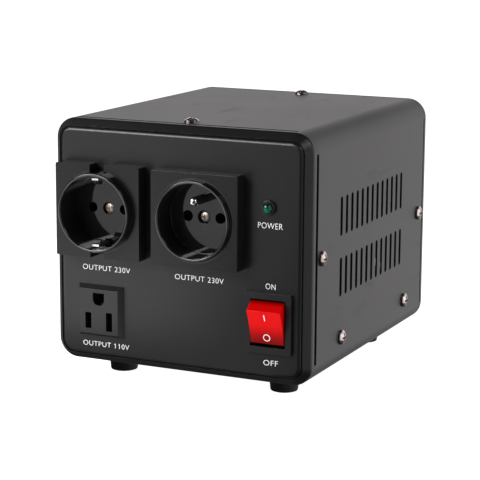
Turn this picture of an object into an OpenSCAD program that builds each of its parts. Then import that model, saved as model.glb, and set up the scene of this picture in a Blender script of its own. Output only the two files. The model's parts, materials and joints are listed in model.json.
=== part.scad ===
// Travel voltage converter: case, three outlets, rocker switch, pilot light and transformer.
// Millimetres, +Z up, front towards -Y, origin under the middle of the whole part.

/* [Case] */
// outside width of the case
case_w = 150; // [148:1:170]
// height of the case from its bottom
case_h = 132; // [126:1:150]
// depth from the front rim to the rear rim
case_d = 168; // [166:1:200]
// outside radius of the case corners
corner_r = 11; // [9:0.5:12]
// how far the face is set in from the rim
bevel_in = 4.5; // [3:0.5:5]
// how far the face stands in front of the rim
bevel_d = 4.5; // [3:0.5:6]
// radius of the edge of the face
face_r = 2.5; // [2:0.5:6]
// depth of the groove between the face and its bevel
groove_d = 1.7; // [0.8:0.1:1.8]
// width of the groove
groove_w = 0.5; // [0.3:0.1:1]
// radius between the bevel and the rim
rim_r = 2.5; // [0.5:0.5:4]
// wall of the two moulded panels
panel_t = 2.5; // [2:0.1:3]
// strip of panel rim left in sight
rim_strip = 3; // [2.6:0.1:4]
// relief of the cover edge along the flat sides
rim_gap = 2.8; // [1:0.1:3]
// relief of the cover's rear edge
rear_gap = 0.9; // [0.4:0.1:2]
// depth of the panel lip inside the cover
lip_l = 16; // [15:0.5:17]
// wall of the panel lip
lip_t = 2.2; // [1.8:0.1:2.6]
// sheet of the wrap cover
sheet_t = 1.2; // [0.8:0.1:1.6]
// width of the cover return under the case
return_w = 34; // [32:1:38]

/* [Vents] */
// slots in a row
vent_n = 13; // [7:2:13]
// width of a slot
vent_w = 3.2; // [2:0.1:3.6]
// height of a slot
vent_h = 21; // [14:0.5:22]
// spacing of the slots
vent_pitch = 7.5; // [6:0.1:7.7]
// space between the two rows
vent_gap = 11.7; // [9:0.1:16]
// how far the slots sit above the middle of the side
vent_up = 1.5; // [0:0.5:4]
// how far the slots sit in front of the middle of the side
vent_fore = 1.3; // [0:0.1:3]

/* [Base] */
// sheet of the base tray
tray_t = 1.5; // [1:0.1:2]
// height of the tray side flange
tray_flange = 28; // [25:1:34]
// height of a foot
foot_h = 10.5; // [9:0.5:14]
// diameter of a foot at the case
foot_d = 17; // [14.4:0.1:18]
// taper of a foot, in diameter
foot_taper = 2.2; // [0:0.1:2.4]
// distance of the feet from the case sides
foot_edge = 26.3; // [21:0.1:27]
// rubber between the foot screw head and the case
foot_pad = 4; // [3:0.5:5]
// distance of the feet from the rims
foot_in = 25; // [24.5:0.5:34]

/* [Screws] */
// shank of the case screws
screw_d = 4; // [3:0.1:4]
// head of the case screws
head_d = 8; // [7.4:0.1:8.2]
// height of the screw heads
head_h = 2.4; // [2:0.1:2.8]
// front cover screws behind the front rim
screw_in_f = 11.6; // [11.5:0.1:15]
// rear cover screws before the rear rim
screw_in_r = 10.5; // [9.5:0.1:15]
// height of the lower side screws
low_screw_z = 18; // [16:0.5:21]
// lower side screws behind the front rim
low_in_f = 39.5; // [32:0.5:46]
// lower side screws before the rear rim
low_in_r = 32; // [30:0.5:46]

/* [Round outlets] */
// side of the square plates
plate_w = 50; // [48:0.5:52]
// corner radius of the plates
plate_r = 1; // [0.5:0.5:5]
// how far the plates stand off the face
plate_t = 8; // [6:0.5:10]
// diameter of the plug well
well_d = 39.2; // [38.6:0.1:39.6]
// wall of the collar
collar_t = 1.6; // [1.2:0.1:2]
// collar height on the clip outlet
clip_proud = 5; // [3:0.5:7]
// collar height on the pin outlet
pin_proud = 2.5; // [1:0.5:4]
// well floor behind the plate front
well_in = 12.5; // [11:0.5:14]
// thickness of the well floor
floor_t = 6; // [5:0.5:8]
// spacing of the pin holes
pin_pitch = 19; // [18.5:0.1:19.5]
// diameter of the pin holes
pin_hole_d = 5.4; // [5:0.1:5.6]
// height of both outlets
outlet_z = 84.4; // [82:0.2:90]
// clip outlet plate in from the left edge of the face
plate_edge = 1.7; // [1:0.1:2.7]
// space between the two plates
plate_gap = 6.9; // [5:0.1:9]
// width of the plate channel over each earth clip
notch_w = 8.6; // [6:0.1:10]
// width of an earth clip
clip_w = 3.8; // [3.6:0.1:5]
// sheet of the earth clip
clip_t = 1; // [0.8:0.1:1.2]
// how far an earth clip bows into the well
clip_bow = 2.6; // [1:0.1:3.2]
// head of the screw in each well
well_head_d = 5.2; // [4.6:0.1:6]
// shank of the screw in each well
well_screw_d = 3; // [2.5:0.1:3.5]
// diameter of the earth pin
earth_d = 4.8; // [4.6:0.1:5]
// length of the earth pin above the well floor
earth_l = 14; // [12:0.5:14.5]
// earth pin above the outlet centre
earth_up = 10; // [9.5:0.1:11]
// length of the pin contacts
tube_l = 12; // [10:0.5:16]
// wall of the pin contacts
tube_t = 1.1; // [0.8:0.1:1.3]

/* [Flat-blade outlet] */
// foot of the block in from the left edge of the face
us_edge = 10.8; // [6:0.1:16]
// height of the outlet
us_z = 29; // [27:0.1:32]
// width of the front of the block
us_w = 23.5; // [22.6:0.1:26]
// height of the front of the block
us_h = 24.5; // [24:0.1:27]
// how far the block stands off the face
us_proud = 3.7; // [3:0.1:7]
// draft of the block on each side
us_draft = 2; // [1:0.1:2.6]
// spacing of the blade slots
blade_pitch = 12.7; // [12.4:0.1:13]
// width of the blade slots
blade_w = 3.6; // [2.4:0.1:3.8]
// height of the left slot
blade_l = 8.8; // [8:0.1:9.4]
// height of the right slot
blade_r = 10.2; // [9:0.1:10.6]
// width of the ground hole
ground_d = 6.8; // [6:0.1:7.2]

/* [Switch] */
// bezel in from the right edge of the face
bezel_edge = 4.65; // [3:0.05:9]
// height of the switch
sw_z = 33; // [30:0.5:36]
// width of the bezel
bezel_w = 26.3; // [25.8:0.1:28]
// height of the bezel
bezel_h = 31.9; // [31:0.1:34]
// thickness of the bezel
bezel_t = 2; // [1.5:0.1:2.4]
// corner radius of the bezel
bezel_r = 0.8; // [0.4:0.1:2.5]
// width of the rocker
rocker_w = 19; // [17:0.1:19.4]
// length of the rocker
rocker_l = 24; // [22:0.1:24.4]
// swing of the rocker to each side, in degrees
rocker_tilt = 17; // [12:0.5:18]
// diameter of the rocker pivot
pivot_d = 3; // [2:0.1:3.2]
// depth of the switch behind the face
sw_deep = 20; // [18:0.5:26]

/* [Pilot light] */
// how far the light sits inside the middle of the switch
led_off = 0.6; // [0:0.1:4]
// height of the light
led_z = 93.3; // [90:0.1:98]
// diameter of the lens
led_d = 5.4; // [4:0.1:6]
// diameter of the ring
ring_d = 8; // [7.8:0.1:11]

/* [Transformer] */
// width of an outer limb of the core
limb = 16; // [13:0.5:16]
// stack of the core
stack = 60; // [46:1:62]
// winding depth in front of and behind the core
coil_out = 19.2; // [12:0.2:20]
// wall of the bobbin
bobbin_t = 1.5; // [1:0.1:2]
// sheet of the core strap
strap_t = 1.5; // [1:0.1:2]
// width of the core strap
strap_w = 42; // [30:1:46]
// length of a strap foot
strap_foot = 12; // [10:0.5:13]
// shank of the core bolts
bolt_d = 5; // [4:0.1:5.5]

/* [Rear] */
// cord bush in from the right side of the case
bush_edge = 30; // [25:0.5:35]
// height of the cord bush
bush_z = 30; // [26:0.5:40]
// bore of the cord bush
bush_bore = 8; // [6:0.1:9]
// fuse holder in from the left side of the case
fuse_edge = 30; // [25:0.5:35]
// height of the fuse holder
fuse_z = 30; // [26:0.5:40]
// diameter of the fuse cap
cap_d = 13; // [12:0.1:15]
// how far the fuse cap stands off the rear face
cap_out = 12; // [9:0.5:16]
// depth of the fuse holder behind the rear face
fuse_deep = 38; // [36:1:42]
// length of the fuse link
link_l = 25; // [20:0.5:25]
// diameter of the fuse link
link_d = 5.2; // [5:0.1:6.4]

/* [Wiring] */
// length of the terminal block
block_w = 40; // [36:1:50]
// depth of the terminal block
block_d = 16; // [12:0.5:18]
// height of the terminal block
block_h = 14; // [12:0.5:15]
// terminal block before the rear rim
block_in = 31; // [29:0.5:34]
// spacing of the terminals
block_pitch = 9.6; // [8:0.1:10]
// terminal screws
block_screw_d = 5; // [4:0.1:5.5]
// earth stud behind the front rim
stud_in = 27; // [25:0.5:30]
// earth stud left of the middle
stud_x = 20; // [10:0.5:30]
// length of the earth stud
stud_l = 14; // [10:0.5:18]

/* [Hidden] */
$fn = 72;
cut = 1;
// named clearances
seam = 0.2;
hole_clear = 0.25;
cut_clear = 0.2;
swing_clear = 0.35;
pivot_clear = 0.05;
cap_clear = 0.08;
tray_clear = 0.3;
// whole part in Y, so that the middle of it is at zero
front_ext = bevel_d + plate_t + max(clip_proud, pin_proud);
bush_out = 4;
bush_wall = 2.5;
bush_rim = 2.5;
bush_grip = 3;
bush_slope = 1.5;
bush_neck = bush_bore + 2 * bush_wall;
bush_d = bush_neck + 2 * bush_rim;
rear_ext = bevel_d + max(cap_out, bush_out);
y_rim = front_ext - (front_ext + case_d + rear_ext) / 2;
y_face = y_rim - bevel_d;
y_mid = y_rim + case_d / 2;
y_end = y_rim + case_d;
y_back = y_end + bevel_d;
z_top = foot_h + case_h;
// places on the face, measured from its edges
face_x = case_w / 2 - bevel_in;
clip_x = face_x - plate_edge - plate_w / 2;
pin_x = plate_w + plate_gap - clip_x;
us_x = face_x - us_edge - us_w / 2 - us_draft;
sw_x = face_x - bezel_edge - bezel_w / 2;
led_x = sw_x - led_off;
foot_x = case_w / 2 - foot_edge;
bush_x = case_w / 2 - bush_edge;
fuse_x = case_w / 2 - fuse_edge;
// panel lip and cover
lip_r = corner_r - sheet_t;
lip_end = bevel_d + rim_strip + lip_l;
cover_l = case_d - 2 * (rim_strip + seam);
in_w = case_w - 2 * sheet_t;
in_h = case_h - 2 * sheet_t;
tray_l = case_d - 2 * (rim_strip + lip_l + tray_clear);
tray_top = foot_h + sheet_t + tray_t;
screw_l = sheet_t + lip_t + 2.4;
// round outlets, heights measured out of the face
collar_d = well_d + 2 * collar_t;
well_z = plate_t - well_in;
floor_z = well_z - floor_t;
bead_r = collar_t * 0.44;
clip_y = well_d / 2 - 1.4;
clip_mid = plate_t - 1.4;
clip_reach = 3.2;
clip_steps = 8;
clip_slot = 3;
back_t = 2;
back_z = floor_z - tube_l;
back_d = collar_d + 5.6;
seat_in = 3;
seat_z = well_z - seat_in;
seat_d = well_head_d + 1.6;
well_head_h = 2.5;
root_d = earth_d - 0.8;
root_t = 3;
// flat-blade outlet
us_bw = us_w - 1;
us_bh = us_h - 1;
us_deep = 18;
us_face = 5;
blade_y = -5.2;
ground_y = 6.8;
leaf_t = 0.8;
leaf_gap = 1.2;
// switch
pivot_z = -0.2;
open_w = rocker_w + 2 * swing_clear;
open_h = rocker_l + 2 * swing_clear + 0.5;
sw_bw = open_w + 3.2;
sw_bh = open_h + 2;
pin_out = 1.2;
sw_floor = 2.5;
term_w = 6.4;
term_t = 0.8;
term_out = 9;
term_pitch = 7;
face_w = 5.45;
ridge_u = rocker_l / 2 - 2.5;
tip_w = -1.6;
heel_w = -5;
heel_in = 1;
dish_r = 57;
// pilot light
led_barrel = led_d + 1.4;
ring_t = 1.5;
barrel_l = 9;
lens_l = 7;
lens_out = 1.3;
// transformer
core_w = 6 * limb;
core_h = 5 * limb;
win_h = 3 * limb;
coil_y = stack / 2 + coil_out;
strap_x = core_w / 2 + strap_t + strap_foot / 2;
// fuse holder
barrel_d = cap_d - 0.4;
bore_d = barrel_d - 2.4;
flange_t = 2.5;
fuse_floor = 2;
link_seat = 4;
cap_gap = 0.3;
stem_l = 8;
fuse_nut_t = 4;

// Shared shapes

// rectangle with round corners
module rrect(w, h, r) {
    square([w - 2 * r, h], center = true);
    square([w, h - 2 * r], center = true);
    for (sx = [-1, 1]) {
        for (sy = [-1, 1]) {
            translate([sx * (w / 2 - r), sy * (h / 2 - r)])
                circle(r);
        }
    }
}

// stands a drawing on the front face: x right, y up, z out of the face
module front(x, z) {
    translate([x, y_face, foot_h + z])
        rotate([90, 0, 0])
            children();
}

// stands a drawing on the rear face: x to the left of the part, y up, z out of the face
module rear(x, z) {
    translate([x, y_back, foot_h + z])
        rotate([90, 0, 180])
            children();
}

// cross-recess pan-head screw, head up, shank down
module pan_screw(hd, hh, d, l, rise = 1.4) {
    dome = (hd * hd / 4 + rise * rise) / (2 * rise);
    difference() {
        union() {
            intersection() {
                cylinder(d = hd, h = hh);
                translate([0, 0, hh - dome])
                    sphere(dome);
            }
            translate([0, 0, -l])
                cylinder(d = d, h = l + hh / 2);
        }
        for (a = [0, 90]) {
            rotate([0, 0, a])
                translate([-hd * 0.3, -hd * 0.07, hh * 0.4])
                    cube([hd * 0.6, hd * 0.14, hh]);
        }
    }
}

// section of the panel edge: radius out of the corner centre, depth into the case
function bevel_len() = sqrt(bevel_in * bevel_in + bevel_d * bevel_d);
function inner_r() = corner_r - bevel_in - panel_t * bevel_d / bevel_len()
    + panel_t * (1 - bevel_in / bevel_len()) * bevel_in / bevel_d;
function inner_z() = panel_t + (lip_r - lip_t - inner_r()) * bevel_d / bevel_in;
module pan_section() {
    turn = atan2(bevel_d, bevel_in);
    edge = acos(1 - groove_d / face_r);
    foot_r = corner_r - bevel_in + groove_w / 2;
    arc_r = foot_r - face_r * sin(edge);
    arc = [for (i = [0 : 5]) [arc_r + face_r * sin(i * edge / 5), face_r * (cos(i * edge / 5) - 1)]];
    start = [foot_r + groove_w, -1.5 * groove_w * bevel_d / bevel_in];
    rim_z = -bevel_d - rim_r * tan((90 - turn) / 2);
    rim = [for (i = [0 : 4]) let (a = turn + i * (90 - turn) / 4)
        [corner_r - rim_r * (1 - sin(a)), rim_z + rim_r * cos(a)]];
    polygon(concat([[0, 0]], arc, [start], rim, [
        [corner_r, -bevel_d - rim_strip], [lip_r, -bevel_d - rim_strip],
        [lip_r, -lip_end], [lip_r - lip_t, -lip_end],
        [lip_r - lip_t, -inner_z()], [inner_r(), -panel_t], [0, -panel_t]]));
}

// panel blank with its middle at zero and its face at z = 0
module pan() {
    cx = case_w / 2 - corner_r;
    cy = case_h / 2 - corner_r;
    translate([-cx, -cy, -panel_t])
        cube([2 * cx, 2 * cy, panel_t]);
    for (a = [0, 180]) {
        rotate([0, 0, a]) {
            translate([cx, cy, 0])
                rotate_extrude(angle = 90)
                    pan_section();
            translate([-cx, cy, 0])
                rotate([0, 0, 90])
                    rotate_extrude(angle = 90)
                        pan_section();
            translate([cx, cy, 0])
                rotate([90, 0, 0])
                    linear_extrude(2 * cy)
                        pan_section();
            rotate([0, 0, 90])
                translate([cy, cx, 0])
                    rotate([90, 0, 0])
                        linear_extrude(2 * cx)
                            pan_section();
        }
    }
}

// screw holes in the lip of a panel
module lip_holes(inset) {
    translate([0, case_h / 2 - corner_r, -bevel_d - inset])
        rotate([-90, 0, 0])
            cylinder(d = screw_d, h = corner_r + cut);
    translate([0, 0, -bevel_d - inset])
        rotate([0, 90, 0])
            cylinder(d = screw_d, h = case_w + 2 * cut, center = true);
}

// Case

module front_panel() {
    color([0.1, 0.1, 0.1])
        front(0, case_h / 2)
            difference() {
                pan();
                for (x = [-clip_x, pin_x]) {
                    translate([x, outlet_z - case_h / 2, -panel_t - cut])
                        cylinder(d = collar_d + 2 * cut_clear, h = panel_t + 2 * cut);
                }
                translate([-us_x, us_z - case_h / 2, 0])
                    cube([us_bw + 2 * cut_clear, us_bh + 2 * cut_clear, 3 * panel_t], center = true);
                translate([sw_x, sw_z - case_h / 2, 0])
                    cube([sw_bw + 2 * cut_clear, sw_bh + 2 * cut_clear, 3 * panel_t], center = true);
                translate([led_x, led_z - case_h / 2, -panel_t - cut])
                    cylinder(d = led_barrel, h = panel_t + 2 * cut);
                lip_holes(screw_in_f);
            }
}

module rear_panel() {
    color([0.1, 0.1, 0.1])
        rear(0, case_h / 2)
            difference() {
                pan();
                translate([-bush_x, bush_z - case_h / 2, -panel_t - cut])
                    cylinder(d = bush_neck, h = panel_t + 2 * cut);
                translate([fuse_x, fuse_z - case_h / 2, -panel_t - cut])
                    cylinder(d = barrel_d, h = panel_t + 2 * cut);
                lip_holes(screw_in_r);
            }
}

// one vent slot through both sides of the cover
module vent_slot() {
    rotate([90, 0, 90])
        linear_extrude(case_w + 2 * cut, center = true) {
            square([vent_w, vent_h - vent_w], center = true);
            for (s = [-1, 1]) {
                translate([0, s * (vent_h - vent_w) / 2])
                    circle(vent_w / 2);
            }
        }
}

// holes for the lower side screws
module low_holes(d) {
    for (y = [y_rim + low_in_f, y_end - low_in_r]) {
        translate([0, y, foot_h + low_screw_z])
            rotate([0, 90, 0])
                cylinder(d = d, h = case_w + 2 * cut, center = true);
    }
}

// places something over every foot
module at_feet() {
    for (sx = [-1, 1]) {
        for (sy = [-1, 1]) {
            translate([sx * foot_x, y_mid + sy * (case_d / 2 - foot_in), 0])
                children();
        }
    }
}

module wrap_cover() {
    relief_x = case_w / 2 - corner_r;
    y0 = y_rim + rim_strip;
    y1 = y_end - rim_strip - seam;
    color([0.14, 0.14, 0.14])
        difference() {
            translate([0, y_end - rim_strip - seam, foot_h + case_h / 2])
                rotate([90, 0, 0])
                    linear_extrude(cover_l)
                        difference() {
                            rrect(case_w, case_h, corner_r);
                            rrect(in_w, in_h, corner_r - sheet_t);
                            translate([0, -case_h / 2])
                                square([case_w - 2 * return_w, 4 * sheet_t], center = true);
                        }
            for (i = [0 : vent_n - 1]) {
                for (s = [-1, 1]) {
                    translate([0, y_mid - vent_fore + (i - (vent_n - 1) / 2) * vent_pitch,
                        foot_h + case_h / 2 + vent_up + s * (vent_gap + vent_h) / 2])
                        vent_slot();
                }
            }
            for (y = [y_rim + screw_in_f, y_end - screw_in_r]) {
                translate([0, y, z_top - 3])
                    cylinder(d = screw_d + 2 * hole_clear, h = 6);
                translate([0, y, foot_h + case_h / 2])
                    rotate([0, 90, 0])
                        cylinder(d = screw_d + 2 * hole_clear, h = case_w + 2 * cut, center = true);
            }
            low_holes(screw_d + 2 * hole_clear);
            at_feet()
                translate([0, 0, foot_h - cut])
                    cylinder(d = screw_d + 2 * hole_clear, h = sheet_t + 2 * cut);
            // relief of the front and rear edges along the flats
            for (edge = [[y0 - cut, rim_gap + cut], [y1 - rear_gap, rear_gap + cut]]) {
                translate([-relief_x, edge[0], z_top - 2 * sheet_t])
                    cube([2 * relief_x, edge[1], 3 * sheet_t]);
                for (s = [-1, 1]) {
                    translate([s * case_w / 2 - 2 * sheet_t, edge[0], foot_h + corner_r])
                        cube([4 * sheet_t, edge[1], case_h - 2 * corner_r]);
                }
            }
        }
}

module base_tray() {
    color([0.6, 0.6, 0.62])
        difference() {
            translate([0, y_mid + tray_l / 2, foot_h + case_h / 2])
                rotate([90, 0, 0])
                    linear_extrude(tray_l)
                        difference() {
                            rrect(in_w, in_h, corner_r - sheet_t);
                            rrect(in_w - 2 * tray_t, in_h - 2 * tray_t, corner_r - sheet_t - tray_t);
                            translate([0, tray_flange])
                                square([case_w, case_h], center = true);
                        }
            low_holes(screw_d);
            at_feet()
                translate([0, 0, foot_h])
                    cylinder(d = screw_d + 2 * hole_clear, h = sheet_t + tray_t + cut);
            for (sx = [-1, 1]) {
                for (sy = [-1, 1]) {
                    translate([sx * strap_x, y_mid + sy * strap_w / 4, foot_h])
                        cylinder(d = bolt_d, h = sheet_t + tray_t + cut);
                }
            }
            translate([-stud_x, y_rim + stud_in, foot_h])
                cylinder(d = screw_d, h = sheet_t + tray_t + cut);
        }
}

module foot(sx, sy) {
    color([0.05, 0.05, 0.05])
        translate([sx * foot_x, y_mid + sy * (case_d / 2 - foot_in), 0])
            difference() {
                cylinder(d1 = foot_d - foot_taper, d2 = foot_d, h = foot_h);
                translate([0, 0, -cut])
                    cylinder(d = head_d + 0.6, h = foot_h - foot_pad + cut);
                cylinder(d = screw_d + 2 * hole_clear, h = foot_h + cut);
            }
}

module foot_front_left() {
    foot(-1, -1);
}

module foot_front_right() {
    foot(1, -1);
}

module foot_rear_left() {
    foot(-1, 1);
}

module foot_rear_right() {
    foot(1, 1);
}

module foot_screws() {
    color([0.7, 0.7, 0.7])
        at_feet()
            translate([0, 0, foot_h - foot_pad])
                rotate([180, 0, 0])
                    pan_screw(head_d, head_h, screw_d, foot_pad + sheet_t + tray_t + screw_d);
}

module foot_nuts() {
    color([0.7, 0.7, 0.7])
        at_feet()
            translate([0, 0, tray_top])
                difference() {
                    cylinder(d = 2 * screw_d, h = 0.8 * screw_d, $fn = 6);
                    translate([0, 0, -cut])
                        cylinder(d = screw_d, h = screw_d + 2 * cut);
                }
}

module cover_screws() {
    color([0.75, 0.73, 0.7]) {
        for (y = [y_rim + screw_in_f, y_end - screw_in_r]) {
            translate([0, y, z_top])
                pan_screw(head_d, head_h, screw_d, screw_l);
        }
        for (s = [-1, 1]) {
            for (p = [[y_rim + screw_in_f, case_h / 2], [y_end - screw_in_r, case_h / 2],
                [y_rim + low_in_f, low_screw_z], [y_end - low_in_r, low_screw_z]]) {
                translate([s * case_w / 2, p[0], foot_h + p[1]])
                    rotate([0, s * 90, 0])
                        pan_screw(head_d, head_h, screw_d, screw_l);
            }
        }
    }
}

// Round outlets

// quarter round of the collar's rim, from the wall up to its top
function bead(r, side, top) = [for (i = [0 : 6])
    [r + side * bead_r * (1 - cos(i * 15)), top - bead_r * (1 - sin(i * 15))]];

// plate, collar, well, pin holes and screw seat; notched plates carry earth clips
module outlet_body(proud, notched) {
    difference() {
        union() {
            difference() {
                linear_extrude(plate_t)
                    rrect(plate_w, plate_w, plate_r);
                if (notched) {
                    translate([0, 0, plate_t / 2])
                        cube([notch_w, plate_w + 2 * cut, plate_t + 2 * cut], center = true);
                }
            }
            rotate_extrude()
                polygon(concat([[0, floor_z], [collar_d / 2, floor_z]],
                    bead(collar_d / 2, -1, plate_t + proud), [[0, plate_t + proud]]));
        }
        rotate_extrude()
            polygon(concat([[0, well_z], [well_d / 2, well_z]], bead(well_d / 2, 1, plate_t + proud),
                [[well_d / 2 + bead_r, plate_t + proud + cut], [0, plate_t + proud + cut]]));
        for (s = [-1, 1]) {
            translate([s * pin_pitch / 2, 0, floor_z - cut])
                cylinder(d = pin_hole_d, h = floor_t + 2 * cut);
        }
        translate([0, 0, floor_z - cut])
            cylinder(d = well_screw_d, h = floor_t + 2 * cut);
        translate([0, 0, seat_z])
            cylinder(d = seat_d, h = seat_in + cut);
    }
}

// two pin contacts behind the well floor
module outlet_tubes() {
    for (s = [-1, 1]) {
        translate([s * pin_pitch / 2, 0, back_z])
            difference() {
                cylinder(d = pin_hole_d + 2 * tube_t, h = tube_l);
                translate([0, 0, -cut])
                    cylinder(d = pin_hole_d, h = tube_l + 2 * cut);
            }
    }
}

// cup behind the panel that clamps it against the plate
module outlet_cup(boss_z) {
    difference() {
        union() {
            difference() {
                translate([0, 0, back_z - back_t])
                    cylinder(d = back_d, h = back_t - back_z - panel_t);
                translate([0, 0, back_z])
                    cylinder(d = collar_d + 4 * cut_clear, h = -back_z);
            }
            translate([0, 0, back_z - back_t / 2])
                cylinder(d = well_screw_d + 5, h = boss_z - back_z + back_t / 2);
        }
        translate([0, 0, back_z])
            cylinder(d = well_screw_d, h = -back_z);
    }
}

module outlet_screw() {
    translate([0, 0, seat_z])
        pan_screw(well_head_d, well_head_h, well_screw_d, seat_z - back_z - 2, 0.8);
}

module clip_outlet_housing() {
    color([0.08, 0.08, 0.08])
        front(-clip_x, outlet_z)
            difference() {
                outlet_body(clip_proud, true);
                for (a = [0, 180]) {
                    rotate([0, 0, a])
                        translate([-clip_w / 2 - cut_clear, well_d / 2 - cut_clear - clip_slot, floor_z - cut])
                            cube([clip_w + 2 * cut_clear, clip_slot, floor_t + 2 * cut]);
                }
            }
}

// side of an earth clip: straight out of the well floor, then bowed into the well
function clip_side(out) = concat([[clip_y - clip_t + out, floor_z - clip_t]],
    [for (i = [-clip_steps : clip_steps])
        [clip_y - clip_t + out - clip_bow * (1 + cos(i * 180 / clip_steps)) / 2,
            clip_mid + clip_reach * i / clip_steps]]);
function back_order(points) = [for (i = [len(points) - 1 : -1 : 0]) points[i]];

module clip_outlet_strap() {
    color([0.8, 0.75, 0.6])
        front(-clip_x, outlet_z)
            difference() {
                union() {
                    translate([-clip_w / 2, -clip_y, floor_z - clip_t])
                        cube([clip_w, 2 * clip_y, clip_t]);
                    for (a = [0, 180]) {
                        rotate([0, 0, a])
                            rotate([90, 0, 90])
                                linear_extrude(clip_w, center = true)
                                    polygon(concat(clip_side(0), back_order(clip_side(clip_t))));
                    }
                }
                translate([0, 0, floor_z - clip_t - cut])
                    cylinder(d = well_screw_d, h = clip_t + 2 * cut);
            }
}

module clip_outlet_contacts() {
    color([0.8, 0.65, 0.3])
        front(-clip_x, outlet_z)
            outlet_tubes();
}

module clip_outlet_screw() {
    color([0.75, 0.73, 0.7])
        front(-clip_x, outlet_z)
            outlet_screw();
}

module clip_outlet_back() {
    color([0.12, 0.12, 0.12])
        front(-clip_x, outlet_z)
            outlet_cup(floor_z - clip_t);
}

module pin_outlet_housing() {
    color([0.08, 0.08, 0.08])
        front(pin_x, outlet_z)
            difference() {
                outlet_body(pin_proud, false);
                translate([0, earth_up, floor_z - cut])
                    cylinder(d = root_d, h = floor_t + 2 * cut);
            }
}

module pin_outlet_earth_pin() {
    color([0.75, 0.73, 0.7])
        front(pin_x, outlet_z)
            translate([0, earth_up, 0]) {
                translate([0, 0, well_z])
                    cylinder(d = earth_d, h = earth_l - earth_d / 2);
                translate([0, 0, floor_z - root_t])
                    cylinder(d = root_d, h = floor_t + root_t + cut);
                translate([0, 0, well_z + earth_l - earth_d / 2])
                    sphere(earth_d / 2);
                translate([0, 0, floor_z - root_t])
                    cylinder(d = earth_d + root_t, h = root_t);
            }
}

module pin_outlet_contacts() {
    color([0.8, 0.65, 0.3])
        front(pin_x, outlet_z)
            outlet_tubes();
}

module pin_outlet_screw() {
    color([0.75, 0.73, 0.7])
        front(pin_x, outlet_z)
            outlet_screw();
}

module pin_outlet_back() {
    color([0.12, 0.12, 0.12])
        front(pin_x, outlet_z)
            outlet_cup(floor_z);
}

// Flat-blade outlet

// block with four drafted sides, smaller at the front
module drafted(w, h, draft, t) {
    intersection() {
        rotate([90, 0, 0])
            linear_extrude(2 * h, center = true)
                polygon([[-w / 2 - draft, 0], [w / 2 + draft, 0], [w / 2, t], [-w / 2, t]]);
        rotate([90, 0, 90])
            linear_extrude(2 * w, center = true)
                polygon([[-h / 2 - draft, 0], [h / 2 + draft, 0], [h / 2, t], [-h / 2, t]]);
    }
}

// ground hole: flat at the top, round at the bottom
module ground_hole() {
    circle(ground_d / 2);
    translate([-ground_d / 2, 0])
        square([ground_d, ground_d / 2]);
}

module blade_outlet_housing() {
    color([0.08, 0.08, 0.08])
        front(-us_x, us_z)
            difference() {
                union() {
                    drafted(us_w, us_h, us_draft, us_proud);
                    translate([-us_bw / 2, -us_bh / 2, -us_deep])
                        cube([us_bw, us_bh, us_deep + 1]);
                    // catches behind the panel
                    for (s = [0, 180]) {
                        rotate([0, 0, s])
                            translate([us_bw / 2 - 0.5, 0, 0])
                                rotate([90, 0, 0])
                                    linear_extrude(8, center = true)
                                        polygon([[0, -panel_t], [1.8, -panel_t], [0, -panel_t - 5]]);
                    }
                }
                for (p = [[-1, blade_l], [1, blade_r]]) {
                    translate([p[0] * blade_pitch / 2 - blade_w / 2, blade_y - p[1] / 2, -us_deep - cut])
                        cube([blade_w, p[1], us_deep + us_proud + 2 * cut]);
                    translate([p[0] * blade_pitch / 2 - blade_w / 2 - leaf_gap, blade_y - p[1] / 2,
                        -us_deep - cut])
                        cube([blade_w + 2 * leaf_gap, p[1], us_deep + us_proud - us_face + cut]);
                }
                translate([0, ground_y, -us_deep - cut])
                    linear_extrude(us_deep + us_proud + 2 * cut)
                        ground_hole();
                translate([0, ground_y, -us_deep - cut])
                    cylinder(d = ground_d + 2 * leaf_t, h = us_deep + us_proud - us_face + cut);
            }
}

module blade_outlet_contacts() {
    top = us_proud - us_face;
    color([0.8, 0.65, 0.3])
        front(-us_x, us_z) {
            for (p = [[-1, blade_l], [1, blade_r]]) {
                translate([p[0] * blade_pitch / 2, blade_y, 0])
                    difference() {
                        translate([-blade_w / 2 - leaf_gap, -p[1] / 2, -us_deep])
                            cube([blade_w + 2 * leaf_gap, p[1], us_deep + top]);
                        translate([-blade_w / 2 - leaf_gap + leaf_t, -p[1] / 2 - cut, -us_deep + leaf_t])
                            cube([blade_w + 2 * leaf_gap - 2 * leaf_t, p[1] + 2 * cut, us_deep + top]);
                    }
            }
            translate([0, ground_y, -us_deep])
                difference() {
                    cylinder(d = ground_d + 2 * leaf_t, h = us_deep + top);
                    translate([0, 0, leaf_t])
                        cylinder(d = ground_d, h = us_deep + top);
                }
        }
}

// Switch

module switch_frame() {
    color([0.07, 0.07, 0.07])
        front(sw_x, sw_z)
            difference() {
                union() {
                    linear_extrude(bezel_t)
                        rrect(bezel_w, bezel_h, bezel_r);
                    translate([-sw_bw / 2, -sw_bh / 2, -sw_deep])
                        cube([sw_bw, sw_bh, sw_deep + bezel_t / 2]);
                    // catches behind the panel
                    for (s = [0, 180]) {
                        rotate([0, 0, s])
                            translate([0, sw_bh / 2 - 0.5, 0])
                                rotate([90, 0, 90])
                                    linear_extrude(10, center = true)
                                        polygon([[0, -panel_t], [1.8, -panel_t], [0, -panel_t - 5]]);
                    }
                }
                translate([0, 0, sw_floor - sw_deep])
                    linear_extrude(sw_deep + bezel_t)
                        rrect(open_w, open_h, 0.8);
                translate([0, 0, pivot_z])
                    rotate([0, 90, 0])
                        cylinder(d = pivot_d + 2 * pivot_clear, h = open_w + 2 * pin_out + 0.4, center = true);
                for (i = [-1, 0, 1]) {
                    translate([-term_w / 2, i * term_pitch - term_t / 2, -sw_deep - cut])
                        cube([term_w, term_t, sw_floor + 2 * cut]);
                }
            }
}

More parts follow.
